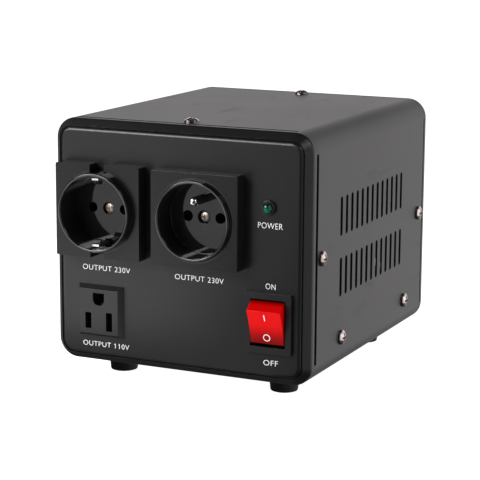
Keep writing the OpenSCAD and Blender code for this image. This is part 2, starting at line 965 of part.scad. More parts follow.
module switch_rocker() {
    half = rocker_l / 2;
    dish_w = sqrt(dish_r * dish_r - ridge_u * ridge_u);
    color([0.75, 0.05, 0.05])
        front(sw_x, sw_z)
            translate([0, 0, pivot_z])
                rotate([rocker_tilt, 0, 0])
                    union() {
                        difference() {
                            rotate([90, 0, 90])
                                linear_extrude(rocker_w, center = true)
                                    polygon([[-half, tip_w], [-ridge_u, face_w], [ridge_u, face_w],
                                        [half, tip_w], [half - heel_in, heel_w], [-half + heel_in, heel_w]]);
                            translate([0, 0, face_w + dish_w])
                                rotate([0, 90, 0])
                                    cylinder(r = dish_r, h = rocker_w + 2 * cut, center = true, $fn = 180);
                        }
                        rotate([0, 90, 0])
                            cylinder(d = pivot_d, h = open_w + 2 * pin_out, center = true);
                    }
}

module switch_terminals() {
    color([0.8, 0.65, 0.3])
        front(sw_x, sw_z)
            for (i = [-1, 0, 1]) {
                translate([-term_w / 2, i * term_pitch - term_t / 2, -sw_deep - term_out])
                    cube([term_w, term_t, term_out + sw_floor]);
            }
}

// Pilot light

module light_holder() {
    color([0.06, 0.06, 0.06])
        front(led_x, led_z)
            difference() {
                union() {
                    cylinder(d1 = ring_d, d2 = ring_d - 0.5, h = ring_t);
                    translate([0, 0, -barrel_l])
                        cylinder(d = led_barrel, h = barrel_l + ring_t / 2);
                }
                translate([0, 0, -barrel_l - cut])
                    cylinder(d = led_d, h = barrel_l + ring_t + 2 * cut);
            }
}

module light_lens() {
    color([0.05, 0.6, 0.15])
        front(led_x, led_z) {
            translate([0, 0, -lens_l])
                cylinder(d = led_d, h = lens_l + lens_out);
            translate([0, 0, lens_out])
                sphere(led_d / 2);
        }
}

// Transformer

module core() {
    color([0.35, 0.33, 0.3])
        translate([0, y_mid, tray_top])
            difference() {
                translate([-core_w / 2, -stack / 2, 0])
                    cube([core_w, stack, core_h]);
                for (s = [-1, 1]) {
                    translate([s * 1.5 * limb - limb / 2, -stack / 2 - cut, limb])
                        cube([limb, stack + 2 * cut, win_h]);
                    for (z = [limb / 2, core_h - limb / 2]) {
                        translate([s * (core_w / 2 - limb / 2), 0, z])
                            rotate([90, 0, 0])
                                cylinder(d = bolt_d, h = stack + 2 * cut, center = true);
                    }
                }
            }
}

module bobbin() {
    fx = 4 * limb - 0.6;
    color([0.85, 0.82, 0.7])
        translate([0, y_mid, tray_top + limb])
            difference() {
                union() {
                    for (z = [0, win_h - bobbin_t]) {
                        translate([-fx / 2, -coil_y, z])
                            cube([fx, 2 * coil_y, bobbin_t]);
                    }
                    translate([-limb - bobbin_t, -stack / 2 - bobbin_t, 0])
                        cube([2 * (limb + bobbin_t), stack + 2 * bobbin_t, win_h]);
                }
                translate([-limb, -stack / 2, -cut])
                    cube([2 * limb, stack, win_h + 2 * cut]);
            }
}

module winding() {
    fx = 4 * limb - 1.6;
    color([0.7, 0.35, 0.15])
        translate([0, y_mid, tray_top + limb + bobbin_t])
            linear_extrude(win_h - 2 * bobbin_t)
                difference() {
                    rrect(fx, 2 * coil_y - 2, 6);
                    square([2 * (limb + bobbin_t), stack + 2 * bobbin_t], center = true);
                }
}

module core_strap() {
    hw = core_w / 2;
    color([0.6, 0.6, 0.62])
        translate([0, y_mid, tray_top])
            difference() {
                rotate([90, 0, 0])
                    linear_extrude(strap_w, center = true)
                        polygon([[-hw, 0], [-hw - strap_t - strap_foot, 0],
                            [-hw - strap_t - strap_foot, strap_t], [-hw - strap_t, strap_t],
                            [-hw - strap_t, core_h + strap_t], [hw + strap_t, core_h + strap_t],
                            [hw + strap_t, strap_t], [hw + strap_t + strap_foot, strap_t],
                            [hw + strap_t + strap_foot, 0], [hw, 0], [hw, core_h], [-hw, core_h]]);
                for (sx = [-1, 1]) {
                    for (sy = [-1, 1]) {
                        translate([sx * strap_x, sy * strap_w / 4, -cut])
                            cylinder(d = bolt_d, h = strap_t + 2 * cut);
                    }
                }
            }
}

module strap_bolts() {
    color([0.7, 0.7, 0.7])
        for (sx = [-1, 1]) {
            for (sy = [-1, 1]) {
                translate([sx * strap_x, y_mid + sy * strap_w / 4, tray_top + strap_t]) {
                    cylinder(d = 1.8 * bolt_d, h = 0.7 * bolt_d, $fn = 6);
                    translate([0, 0, -strap_t - tray_t])
                        cylinder(d = bolt_d, h = strap_t + tray_t + 1);
                }
            }
        }
}

module core_bolts() {
    color([0.7, 0.7, 0.7])
        for (sx = [-1, 1]) {
            for (z = [limb / 2, core_h - limb / 2]) {
                translate([sx * (core_w / 2 - limb / 2), y_mid, tray_top + z])
                    rotate([90, 0, 0]) {
                        cylinder(d = bolt_d, h = stack + 2, center = true);
                        for (s = [0, 180]) {
                            rotate([s, 0, 0])
                                translate([0, 0, stack / 2])
                                    cylinder(d = 1.8 * bolt_d, h = 0.7 * bolt_d, $fn = 6);
                        }
                    }
            }
        }
}

// Rear

module cord_bush() {
    color([0.05, 0.05, 0.05])
        rear(bush_x, bush_z)
            difference() {
                union() {
                    cylinder(d1 = bush_d, d2 = bush_d - 2 * bush_slope, h = bush_out);
                    translate([0, 0, -panel_t - bush_grip])
                        cylinder(d = bush_neck, h = panel_t + bush_grip + bush_out / 2);
                    translate([0, 0, -panel_t - bush_grip])
                        cylinder(d = bush_d, h = bush_grip);
                }
                translate([0, 0, -panel_t - bush_grip - cut])
                    cylinder(d = bush_bore, h = panel_t + bush_out + bush_grip + 2 * cut);
            }
}

module fuse_holder() {
    color([0.07, 0.07, 0.07])
        rear(-fuse_x, fuse_z)
            difference() {
                union() {
                    cylinder(d = cap_d + 4, h = flange_t);
                    translate([0, 0, -fuse_deep])
                        cylinder(d = barrel_d, h = fuse_deep + flange_t / 2);
                }
                translate([0, 0, fuse_floor + link_seat - fuse_deep])
                    cylinder(d = bore_d, h = fuse_deep + flange_t);
                translate([0, 0, fuse_floor - fuse_deep])
                    cylinder(d = link_d, h = link_seat + cut);
            }
}

module fuse_nut() {
    color([0.07, 0.07, 0.07])
        rear(-fuse_x, fuse_z)
            translate([0, 0, -panel_t - fuse_nut_t])
                difference() {
                    cylinder(d = barrel_d + 7, h = fuse_nut_t, $fn = 6);
                    translate([0, 0, -cut])
                        cylinder(d = barrel_d, h = fuse_nut_t + 2 * cut);
                }
}

module fuse_link() {
    color([0.8, 0.8, 0.75])
        rear(-fuse_x, fuse_z)
            translate([0, 0, fuse_floor - fuse_deep])
                cylinder(d = link_d, h = link_l);
}

module fuse_cap() {
    color([0.07, 0.07, 0.07])
        rear(-fuse_x, fuse_z)
            difference() {
                union() {
                    translate([0, 0, flange_t + cap_gap])
                        cylinder(d = cap_d, h = cap_out - flange_t - cap_gap);
                    translate([0, 0, -stem_l])
                        cylinder(d = bore_d - 2 * cap_clear, h = stem_l + flange_t + 2 * cap_gap);
                }
                translate([0, 0, cap_out])
                    cube([1.6, cap_d - 3, 4], center = true);
                for (a = [0 : 30 : 330]) {
                    rotate([0, 0, a])
                        translate([cap_d / 2 + 0.4, 0, flange_t + cap_gap + 1.8])
                            cylinder(r = 1, h = cap_out);
                }
            }
}

// Inside the case

module earth_stud() {
    color([0.7, 0.7, 0.7])
        translate([-stud_x, y_rim + stud_in, tray_top]) {
            cylinder(d = 2 * screw_d, h = 0.8 * screw_d, $fn = 6);
            translate([0, 0, -tray_t])
                cylinder(d = screw_d, h = tray_t + stud_l);
        }
}

module terminal_block() {
    color([0.85, 0.85, 0.8])
        translate([0, y_end - block_in, tray_top])
            difference() {
                translate([-block_w / 2, -block_d / 2, 0])
                    cube([block_w, block_d, block_h]);
                for (i = [-1.5 : 1 : 1.5]) {
                    translate([i * block_pitch, 0, block_h / 2])
                        cylinder(d = block_screw_d, h = block_h);
                    translate([i * block_pitch, 0, block_h / 2 - 1.7])
                        rotate([90, 0, 0])
                            cylinder(d = 3.4, h = block_d + 2 * cut, center = true);
                }
            }
}

module terminal_screws() {
    color([0.8, 0.65, 0.3])
        translate([0, y_end - block_in, tray_top])
            for (i = [-1.5 : 1 : 1.5]) {
                translate([i * block_pitch, 0, block_h / 2])
                    difference() {
                        cylinder(d = block_screw_d, h = block_screw_d);
                        translate([0, 0, block_screw_d])
                            cube([0.8, block_screw_d + cut, 2], center = true);
                    }
            }
}

front_panel();
rear_panel();
wrap_cover();
base_tray();
foot_front_left();
foot_front_right();
foot_rear_left();
foot_rear_right();
foot_screws();
foot_nuts();
cover_screws();
clip_outlet_housing();
clip_outlet_strap();
clip_outlet_contacts();
clip_outlet_screw();
clip_outlet_back();
pin_outlet_housing();
pin_outlet_earth_pin();
pin_outlet_contacts();
pin_outlet_screw();
pin_outlet_back();
blade_outlet_housing();
blade_outlet_contacts();
switch_frame();
switch_rocker();
switch_terminals();
light_holder();
light_lens();
core();
bobbin();
winding();
core_strap();
strap_bolts();
core_bolts();
cord_bush();
fuse_holder();
fuse_nut();
fuse_link();
fuse_cap();
earth_stud();
terminal_block();
terminal_screws();
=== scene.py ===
"""Looks of a boxed mains voltage converter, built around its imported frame.

Each sub-assembly is a class: build() makes the pieces that the frame lacks, and dress() rounds
the edges of the frame's own pieces and gives every piece its finish.
"""

import functools
import json
import logging
import math
from dataclasses import dataclass, replace
from enum import Enum
from typing import Union

import bmesh
import bpy
from mathutils import Matrix, Vector


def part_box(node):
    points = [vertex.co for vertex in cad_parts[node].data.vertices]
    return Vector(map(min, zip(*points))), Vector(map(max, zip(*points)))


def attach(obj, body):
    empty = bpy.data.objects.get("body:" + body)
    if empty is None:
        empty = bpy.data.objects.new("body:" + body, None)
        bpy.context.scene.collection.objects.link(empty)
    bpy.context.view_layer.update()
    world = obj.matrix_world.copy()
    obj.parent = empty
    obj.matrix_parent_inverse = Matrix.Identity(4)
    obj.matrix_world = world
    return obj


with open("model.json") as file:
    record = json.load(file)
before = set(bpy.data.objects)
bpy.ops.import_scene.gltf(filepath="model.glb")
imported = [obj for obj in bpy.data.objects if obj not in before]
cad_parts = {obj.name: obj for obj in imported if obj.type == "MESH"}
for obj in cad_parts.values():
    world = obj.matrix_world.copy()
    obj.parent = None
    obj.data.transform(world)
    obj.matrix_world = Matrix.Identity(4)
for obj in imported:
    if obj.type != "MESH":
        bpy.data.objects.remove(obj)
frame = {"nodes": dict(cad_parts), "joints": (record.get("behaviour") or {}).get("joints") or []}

LOG = logging.getLogger("converter")
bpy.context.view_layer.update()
MM = 0.001

Colour = tuple[float, float, float]
Point = tuple[float, float, float]
Span = tuple[float, float]
Feed = Union["Signal", float, tuple[float, ...]]
Coats = dict[str, tuple["Finish", float]]


# Shader expressions


class Signal:
    """A shader socket that takes part in Python sums."""

    def __init__(self, recipe: "Recipe", socket: bpy.types.NodeSocket) -> None:
        """Wraps one output socket.

        Args:
            recipe: The recipe whose nodes the sums are added to.
            socket: The output socket that carries the value.
        """
        self.recipe = recipe
        self.socket = socket

    def _sum(self, operation: str, first: Feed, second: Feed) -> "Signal":
        """Adds one Math node.

        Args:
            operation: The node's operation.
            first: Its first value.
            second: Its second value.

        Returns:
            The result.
        """
        return self.recipe.node("ShaderNodeMath", {"operation": operation}, {0: first, 1: second})

    def __add__(self, other: Feed) -> "Signal":
        """Value plus other."""
        return self._sum("ADD", self, other)

    def __radd__(self, other: Feed) -> "Signal":
        """Other plus value."""
        return self._sum("ADD", other, self)

    def __sub__(self, other: Feed) -> "Signal":
        """Value minus other."""
        return self._sum("SUBTRACT", self, other)

    def __rsub__(self, other: Feed) -> "Signal":
        """Other minus value."""
        return self._sum("SUBTRACT", other, self)

    def __mul__(self, other: Feed) -> "Signal":
        """Value times other."""
        return self._sum("MULTIPLY", self, other)

    def __rmul__(self, other: Feed) -> "Signal":
        """Other times value."""
        return self._sum("MULTIPLY", other, self)

    def wave(self) -> "Signal":
        """Sine of the value."""
        return self._sum("SINE", self, 0.0)

    def size(self) -> "Signal":
        """Value without its sign."""
        return self._sum("ABSOLUTE", self, 0.0)


class Recipe:
    """The node tree of one finish or of the surround."""

    def __init__(self, owner: Union[bpy.types.Material, bpy.types.World],
                 coordinate: str = "Object") -> None:
        """Starts with an empty tree.

        Args:
            owner: The material or world whose tree it is.
            coordinate: What its patterns are laid out by.
        """
        owner.use_nodes = True
        self.owner = owner
        self.tree = owner.node_tree
        self.tree.nodes.clear()
        self.place = self.node("ShaderNodeTexCoord", output=coordinate)

    def node(self, kind: str, settings: dict | None = None, sockets: dict | None = None,
             output: int | str = 0) -> Signal:
        """Adds one node.

        Args:
            kind: The node's type.
            settings: Its own properties, which are set first.
            sockets: Values or signals for its inputs, by name or number.
            output: Which output is handed back.

        Returns:
            That output.
        """
        made = self.tree.nodes.new(kind)
        for key, value in (settings or {}).items():
            setattr(made, key, value)
        for key, value in (sockets or {}).items():
            if isinstance(value, Signal):
                self.tree.links.new(value.socket, made.inputs[key])
            elif isinstance(value, tuple) and made.inputs[key].type == "RGBA":
                made.inputs[key].default_value = (*value, 1.0)
            else:
                made.inputs[key].default_value = value
        return Signal(self, made.outputs[output])

    def cloud(self, size_mm: float, detail: float = 2.0, stretch: Point | None = None) -> Signal:
        """Uneven pattern from 0 to 1.

        Args:
            size_mm: Rough size of one blotch.
            detail: How many finer layers it has.
            stretch: Scale along each axis, where the pattern has a direction.

        Returns:
            The pattern.
        """
        where = self.place
        if stretch:
            where = self.node("ShaderNodeMapping", None, {"Vector": where, "Scale": stretch})
        sockets = {"Vector": where, "Scale": 1 / (size_mm * MM), "Detail": detail}
        return self.node("ShaderNodeTexNoise", None, sockets, "Fac")

    def axis(self, name: str) -> Signal:
        """One coordinate of the surface in metres."""
        return self.node("ShaderNodeSeparateXYZ", None, {0: self.place}, name)

    def from_axis(self, across_mm: float, up_mm: float) -> Signal:
        """Distance from a line along Y, in metres.

        Args:
            across_mm: X of the line.
            up_mm: Z of the line.

        Returns:
            The distance.
        """
        sockets = {"Vector": self.place, "Location": (-across_mm * MM, 0.0, -up_mm * MM),
                   "Scale": (1.0, 0.0, 1.0)}
        flat = self.node("ShaderNodeMapping", None, sockets)
        return self.node("ShaderNodeVectorMath", {"operation": "LENGTH"}, {0: flat}, "Value")

    def step(self, value: Signal, span: Span, start: float = 0.0, end: float = 1.0) -> Signal:
        """Smooth step between two levels.

        Args:
            value: What is stepped.
            span: Where the step starts and ends.
            start: Result below the step.
            end: Result above it.

        Returns:
            The stepped value.
        """
        sockets = {"Value": value, "From Min": span[0], "From Max": span[1],
                   "To Min": start, "To Max": end}
        return self.node("ShaderNodeMapRange", {"interpolation_type": "SMOOTHSTEP"}, sockets)

    def edge(self, value: Signal, place_mm: float, span_mm: Span, start: float = 0.0,
             end: float = 1.0) -> Signal:
        """Smooth step of a distance across an edge.

        Args:
            value: The distance in metres.
            place_mm: Where the edge is.
            span_mm: Where the step starts and ends, counted from the edge.
            start: Result before the step.
            end: Result past it.

        Returns:
            The stepped value.
        """
        low, high = ((place_mm + part) * MM for part in span_mm)
        return self.step(value, (low, high), start, end)

    def blend(self, share: Feed, first: Union[Signal, Colour],
              second: Union[Signal, Colour]) -> Signal:
        """Mixes two colours.

        Args:
            share: How much of the second colour.
            first: The first colour.
            second: The second colour.

        Returns:
            The mixed colour.
        """
        sockets = {0: share, 6: first, 7: second}
        return self.node("ShaderNodeMix", {"data_type": "RGBA"}, sockets, 2)

    def uneven(self, share: Signal, colour: Colour, tones: Span) -> Signal:
        """A colour that drifts between two tones of itself.

        Args:
            share: How much of the second tone.
            colour: The colour.
            tones: Factors of the two tones.

        Returns:
            The uneven colour.
        """
        return self.blend(share, *(shade(colour, tone) for tone in tones))

    def bump(self, height: Signal, depth_mm: float, normal: Signal | None = None) -> Signal:
        """Turns a height into a normal.

        Args:
            height: Pattern from 0 to 1.
            depth_mm: Height of the pattern.
            normal: An earlier bump under this one.

        Returns:
            The normal.
        """
        sockets = {"Height": height, "Distance": depth_mm * MM, "Strength": 1.0}
        if normal:
            sockets["Normal"] = normal
        return self.node("ShaderNodeBump", None, sockets)

    def surface(self, sockets: dict) -> bpy.types.Material:
        """Closes the tree with one Principled surface.

        Args:
            sockets: Values or signals for its inputs.

        Returns:
            The finished material.
        """
        shader = self.node("ShaderNodeBsdfPrincipled", None, sockets)
        self.close(shader, "ShaderNodeOutputMaterial")
        return self.owner

    def close(self, shader: Signal, kind: str) -> None:
        """Links a shader to the tree's output.

        Args:
            shader: The shader.
            kind: Type of the output node.
        """
        made = self.tree.nodes.new(kind)
        self.tree.links.new(shader.socket, made.inputs["Surface"])


# Finishes


def shade(colour: Colour, factor: float) -> Colour:
    """A colour made darker or lighter.

    Args:
        colour: The colour.
        factor: What each channel is multiplied by.

    Returns:
        The new colour.
    """
    return tuple(min(1.0, channel * factor) for channel in colour)


@dataclass(frozen=True)
class Patches:
    """Patches of another tone on a surface, such as dust, scuffs or rust."""

    size_mm: float
    span: Span
    share: float
    tone: Colour
    detail: float = 5.0

    def spread(self, recipe: Recipe) -> Signal:
        """How much of the other tone lies at each place."""
        return recipe.step(recipe.cloud(self.size_mm, self.detail), self.span) * self.share


@dataclass(frozen=True)
class Finish:
    """What every finish has."""

    name: str

    def recipe(self) -> Recipe:
        """An empty recipe for the finish's own material."""
        return Recipe(bpy.data.materials.new(self.name))

    def brew(self) -> bpy.types.Material:
        """Builds the material."""
        raise NotImplementedError


@functools.cache
def material_of(finish: Finish) -> bpy.types.Material:
    """The one material of a finish."""
    return finish.brew()


DUST = Patches(2.2, (0.66, 0.78), 0.25, (0.09, 0.088, 0.085))
LITTLE_DUST = replace(DUST, share=0.1)


@dataclass(frozen=True)
class Moulding(Finish):
    """Moulded plastic: fine spark grain or polish, uneven sheen and a little dust."""

    colour: Colour
    rough: float
    grain_mm: float = 0.5
    depth_mm: float = 0.012
    sheen_spread: float = 0.08
    dust: Patches = DUST
    gloss: float = 0.5
    drift_mm: float = 38.0
    tones: Span = (0.8, 1.2)
    grain_rough: float = 0.05
    dust_rough: float = 0.2

    def brew(self) -> bpy.types.Material:
        """Builds the material.

        Returns:
            The material.
        """
        recipe = self.recipe()
        drift = recipe.cloud(self.drift_mm, 3)
        grain = recipe.cloud(self.grain_mm, 2)
        dust = self.dust.spread(recipe)
        tone = recipe.uneven(drift, self.colour, self.tones)
        rough = self.rough + (drift - 0.5) * self.sheen_spread + grain * self.grain_rough
        return recipe.surface({
            "Base Color": recipe.blend(dust, tone, self.dust.tone),
            "Roughness": rough + dust * self.dust_rough,
            "Specular IOR Level": self.gloss,
            "Normal": recipe.bump(grain, self.depth_mm),
        })


@dataclass(frozen=True)
class OutletMoulding(Finish):
    """Black plastic with a satin plate and a polished round well."""

    across_mm: float
    up_mm: float
    wall_mm: float
    collar_mm: float
    plate: Colour = (0.007, 0.007, 0.0072)
    well: Colour = (0.006, 0.006, 0.0063)
    plate_rough: float = 0.28
    well_rough: float = 0.07
    gloss: float = 0.3
    coat_rough: float = 0.12
    plate_span_mm: Span = (0.0, 0.4)
    wall_span_mm: Span = (-0.3, -0.1)
    bead_span_mm: Span = (1.0, 1.4)
    drift_mm: float = 30.0
    sheen_spread: float = 0.05
    grain_mm: float = 0.5
    grain_depth_mm: float = 0.01
    ripple_mm: float = 5.0
    ripple_depth_mm: float = 0.012
    dust: Patches = Patches(1.8, (0.68, 0.8), 0.15, (0.08, 0.078, 0.075))
    dust_rough: float = 0.3

    def brew(self) -> bpy.types.Material:
        """Builds the material, with a clear coat on the well's wall and rim.

        Returns:
            The material.
        """
        recipe = self.recipe()
        reach = recipe.from_axis(self.across_mm, self.up_mm)
        outside = recipe.edge(reach, self.collar_mm, self.plate_span_mm)
        wall = recipe.edge(reach, self.wall_mm, self.wall_span_mm)
        bead = recipe.edge(reach, self.wall_mm, self.bead_span_mm, 1.0, 0.0)
        drift = recipe.cloud(self.drift_mm, 3)
        grain = recipe.cloud(self.grain_mm, 2)
        ripple = recipe.cloud(self.ripple_mm, 1)
        dust = self.dust.spread(recipe)
        tone = recipe.blend(outside, self.well, self.plate)
        rough = self.well_rough + outside * (self.plate_rough - self.well_rough)
        normal = recipe.bump(grain * outside, self.grain_depth_mm)
        return recipe.surface({
            "Base Color": recipe.blend(dust, tone, self.dust.tone),
            "Roughness": rough + (drift - 0.5) * self.sheen_spread + dust * self.dust_rough,
            "Specular IOR Level": self.gloss,
            "Coat Weight": wall * bead,
            "Coat Roughness": self.coat_rough,
            "Normal": recipe.bump(ripple, self.ripple_depth_mm, normal),
        })


@dataclass(frozen=True)
class Paint(Finish):
    """Satin paint on sheet metal: faint orange peel over a fine tooth, painted shade on the inner
    skin.
    """

    colour: Colour
    rough: float
    # Where the painted shade sits: inside the outer skin across X, between a foot and a head
    # height in Z.
    skin_mm: float = 74.93
    skin_span_mm: Span = (-0.1, 0.0)
    skin_foot_mm: float = 28.0
    foot_span_mm: Span = (-2.0, 0.0)
    skin_head_mm: float = 116.0
    head_span_mm: Span = (0.0, 2.0)
    # Painted shade: near-black colour on the inner skin and the vent slots' walls, standing in for
    # their shadow.
    inner: Colour = (0.0015, 0.0015, 0.0015)
    inner_rough: float = 0.4
    peel_mm: float = 1.7
    peel_depth_mm: float = 0.012
    tooth_mm: float = 0.35
    tooth_depth_mm: float = 0.006
    tooth_rough: float = 0.04
    rub_mm: float = 9.0
    rub_stretch: Point = (1.0, 0.25, 1.0)
    rub_span: Span = (0.6, 0.75)
    rub_rough: float = 0.05
    drift_mm: float = 55.0
    sheen_spread: float = 0.06
    tones: Span = (0.85, 1.15)
    dust: Patches = Patches(1.6, (0.68, 0.8), 0.2, (0.1, 0.1, 0.098))

    def brew(self) -> bpy.types.Material:
        """Builds the material.

        Returns:
            The material.
        """
        recipe = self.recipe()
        drift = recipe.cloud(self.drift_mm, 3)
        peel = recipe.cloud(self.peel_mm, 1.5)
        tooth = recipe.cloud(self.tooth_mm, 2)
        rub = recipe.step(recipe.cloud(self.rub_mm, 6, self.rub_stretch), self.rub_span)
        dust = self.dust.spread(recipe)
        across = recipe.edge(recipe.axis("X").size(), self.skin_mm, self.skin_span_mm, 1.0, 0.0)
        low = recipe.edge(recipe.axis("Z"), self.skin_foot_mm, self.foot_span_mm)
        high = recipe.edge(recipe.axis("Z"), self.skin_head_mm, self.head_span_mm)
        # The inner skin and the vent slots' walls, which get the painted shade colour and more
        # roughness.
        inside = across * low * (1.0 - high)
        tone = recipe.uneven(drift, self.colour, self.tones)
        painted = recipe.blend(dust, tone, self.dust.tone)
        rough = self.rough + (drift - 0.5) * self.sheen_spread + rub * self.rub_rough
        normal = recipe.bump(peel, self.peel_depth_mm)
        return recipe.surface({
            "Base Color": recipe.blend(inside, painted, self.inner),
            "Roughness": rough + tooth * self.tooth_rough + inside * self.inner_rough,
            "Normal": recipe.bump(tooth, self.tooth_depth_mm, normal),
        })


class Lay(Enum):
    """Direction of the fine marks in a metal, as scales along X, Y and Z."""

    PLATED = (1.0, 1.0, 1.0)
    ROLLED_Y = (1.0, 0.06, 1.0)


@dataclass(frozen=True)
class Metal(Finish):
    """Bare or plated metal with tarnish and the marks of its making."""

    colour: Colour
    tarnish: Colour
    rough: float
    lay: Lay = Lay.PLATED
    mark_mm: float = 0.6
    depth_mm: float = 0.006
    stain_mm: float = 3.2
    stain_span: Span = (0.42, 0.72)
    even_rough: float = 0.7
    mark_rough: float = 0.6
    stain_rough: float = 0.5

    def brew(self) -> bpy.types.Material:
        """Builds the material.

        Returns:
            The material.
        """
        recipe = self.recipe()
        marks = recipe.cloud(self.mark_mm, 4, self.lay.value)
        stain = recipe.step(recipe.cloud(self.stain_mm, 4), self.stain_span)
        wear = self.even_rough + marks * self.mark_rough + stain * self.stain_rough
        return recipe.surface({
            "Base Color": recipe.blend(stain, self.colour, self.tarnish),
            "Metallic": 1.0,
            "Roughness": self.rough * wear,
            "Normal": recipe.bump(marks, self.depth_mm),
        })


@dataclass(frozen=True)
class Spangle(Finish):
    """Zinc-coated steel sheet with its crystal pattern."""

    colour: Colour
    crystal_mm: float = 7.0
    tones: Span = (0.8, 1.0)
    fine_mm: float = 0.8
    depth_mm: float = 0.006
    rough: float = 0.3
    crystal_rough: float = 0.18
    fine_rough: float = 0.08

    def brew(self) -> bpy.types.Material:
        """Builds the material.

        Returns:
            The material.
        """
        recipe = self.recipe()
        sockets = {"Vector": recipe.place, "Scale": 1 / (self.crystal_mm * MM)}
        cells = recipe.node("ShaderNodeTexVoronoi", None, sockets, "Color")
        crystal = recipe.node("ShaderNodeSeparateColor", None, {0: cells}, 0)
        fine = recipe.cloud(self.fine_mm, 3)
        return recipe.surface({
            "Base Color": recipe.uneven(crystal, self.colour, self.tones),
            "Metallic": 1.0,
            "Roughness": self.rough + crystal * self.crystal_rough + fine * self.fine_rough,
            "Normal": recipe.bump(fine, self.depth_mm),
        })


@dataclass(frozen=True)
class Rubber(Finish):
    """Moulded rubber: dull, pitted, with pale scuffs."""

    colour: Colour
    rough: float = 0.72
    pit_mm: float = 0.7
    pit_depth_mm: float = 0.03
    pit_gloss: float = 0.08
    scuffs: Patches = Patches(4.5, (0.6, 0.85), 0.3, (0.05, 0.049, 0.047), 6.0)
    scuff_rough: float = 0.15

    def brew(self) -> bpy.types.Material:
        """Builds the material.

        Returns:
            The material.
        """
        recipe = self.recipe()
        pits = recipe.cloud(self.pit_mm, 4)
        scuff = self.scuffs.spread(recipe)
        return recipe.surface({
            "Base Color": recipe.blend(scuff, self.colour, self.scuffs.tone),
            "Roughness": self.rough + scuff * self.scuff_rough - pits * self.pit_gloss,
            "Normal": recipe.bump(pits, self.pit_depth_mm),
        })


@dataclass(frozen=True)
class Tint(Finish):
    """Tinted plastic with painted shade: its colour darkens behind its front, towards the panel.
    """

    colour: Colour
    # Colour of the painted shade towards the panel.
    deep: Colour
    front_mm: float
    back_mm: float
    rough: float = 0.22
    gloss: float = 0.1
    drift_mm: float = 9.0
    tones: Span = (0.94, 1.04)
    sheen_spread: float = 0.06
    ripple_mm: float = 2.5
    ripple_depth_mm: float = 0.006

    def brew(self) -> bpy.types.Material:
        """Builds the material.

        Returns:
            The material.
        """
        recipe = self.recipe()
        drift = recipe.cloud(self.drift_mm, 2)
        ripple = recipe.cloud(self.ripple_mm, 2)
        # Painted shade: the colour turns to deep from front_mm to back_mm, towards the panel.
        depth = recipe.edge(recipe.axis("Y"), 0.0, (self.front_mm, self.back_mm))
        tone = recipe.uneven(drift, self.colour, self.tones)
        return recipe.surface({
            "Base Color": recipe.blend(depth, tone, self.deep),
            "Roughness": self.rough + (drift - 0.5) * self.sheen_spread,
            "Specular IOR Level": self.gloss,
            "Normal": recipe.bump(ripple, self.ripple_depth_mm),
        })


@dataclass(frozen=True)
class Lens(Finish):
    """Coloured clear plastic: painted shade at its head and rim, painted light shining through at
    its foot.
    """

    colour: Colour
    # Colour of the painted shade at the head and rim.
    deep: Colour
    across_mm: float
    up_mm: float
    radius_mm: float
    clear_share: float = 0.7
    ripple_mm: float = 1.4
    ripple_depth_mm: float = 0.004
    rough: float = 0.1
    ripple_rough: float = 0.06

    def brew(self) -> bpy.types.Material:
        """Builds the material.

        Returns:
            The material.
        """
        recipe = self.recipe()
        reach = recipe.from_axis(self.across_mm, self.up_mm)
        # Painted shade towards the rim and the head; the lower part keeps the brighter colour,
        # painted light shining through.
        rim = recipe.edge(reach, 0.0, (self.clear_share * self.radius_mm, self.radius_mm))
        high = recipe.edge(recipe.axis("Z"), self.up_mm, (-self.radius_mm, self.radius_mm))
        ripple = recipe.cloud(self.ripple_mm, 2)
        body = recipe.blend(high, self.colour, self.deep)
        return recipe.surface({
            "Base Color": recipe.blend(rim, body, self.deep),
            "Roughness": self.rough + ripple * self.ripple_rough,
            "Normal": recipe.bump(ripple, self.ripple_depth_mm),
        })


@dataclass(frozen=True)
class Ink(Finish):
    """Screen-printed ink, slightly uneven in cover."""

    colour: Colour
    cover_mm: float = 0.5
    tones: Span = (0.88, 1.0)
    depth_mm: float = 0.004
    rough: float = 0.45
    cover_rough: float = 0.15

    def brew(self) -> bpy.types.Material:
        """Builds the material.

        Returns:
            The material.
        """
        recipe = self.recipe()
        cover = recipe.cloud(self.cover_mm, 3)
        return recipe.surface({
            "Base Color": recipe.uneven(cover, self.colour, self.tones),
            "Roughness": self.rough + cover * self.cover_rough,
            "Normal": recipe.bump(cover, self.depth_mm),
        })


@dataclass(frozen=True)
class Wire(Finish):
    """Layered turns of enamelled wire round an upright limb."""

    colour: Colour
    turn_mm: float = 1.3
    turn_depth_mm: float = 0.4
    wander_mm: float = 14.0
    wander_by_mm: float = 4.0
    blotch_mm: float = 6.0
    tones: Span = (0.7, 1.0)
    metal_share: float = 0.85
    rough: float = 0.42
    turn_gloss: float = 0.16
    enamel: float = 0.5
    enamel_rough: float = 0.2

    def brew(self) -> bpy.types.Material:
        """Builds the material.

        Returns:
            The material.
        """
        recipe = self.recipe()
        wander = recipe.cloud(self.wander_mm, 2) * (self.wander_by_mm * MM)
        turns = ((recipe.axis("Z") + wander) * (math.pi / (self.turn_mm * MM))).wave().size()
        blotch = recipe.cloud(self.blotch_mm, 3)
        return recipe.surface({
            "Base Color": recipe.uneven(blotch, self.colour, self.tones),
            "Metallic": self.metal_share,
            "Roughness": self.rough - turns * self.turn_gloss,
            "Coat Weight": self.enamel,
            "Coat Roughness": self.enamel_rough,
            "Normal": recipe.bump(turns, self.turn_depth_mm),
        })


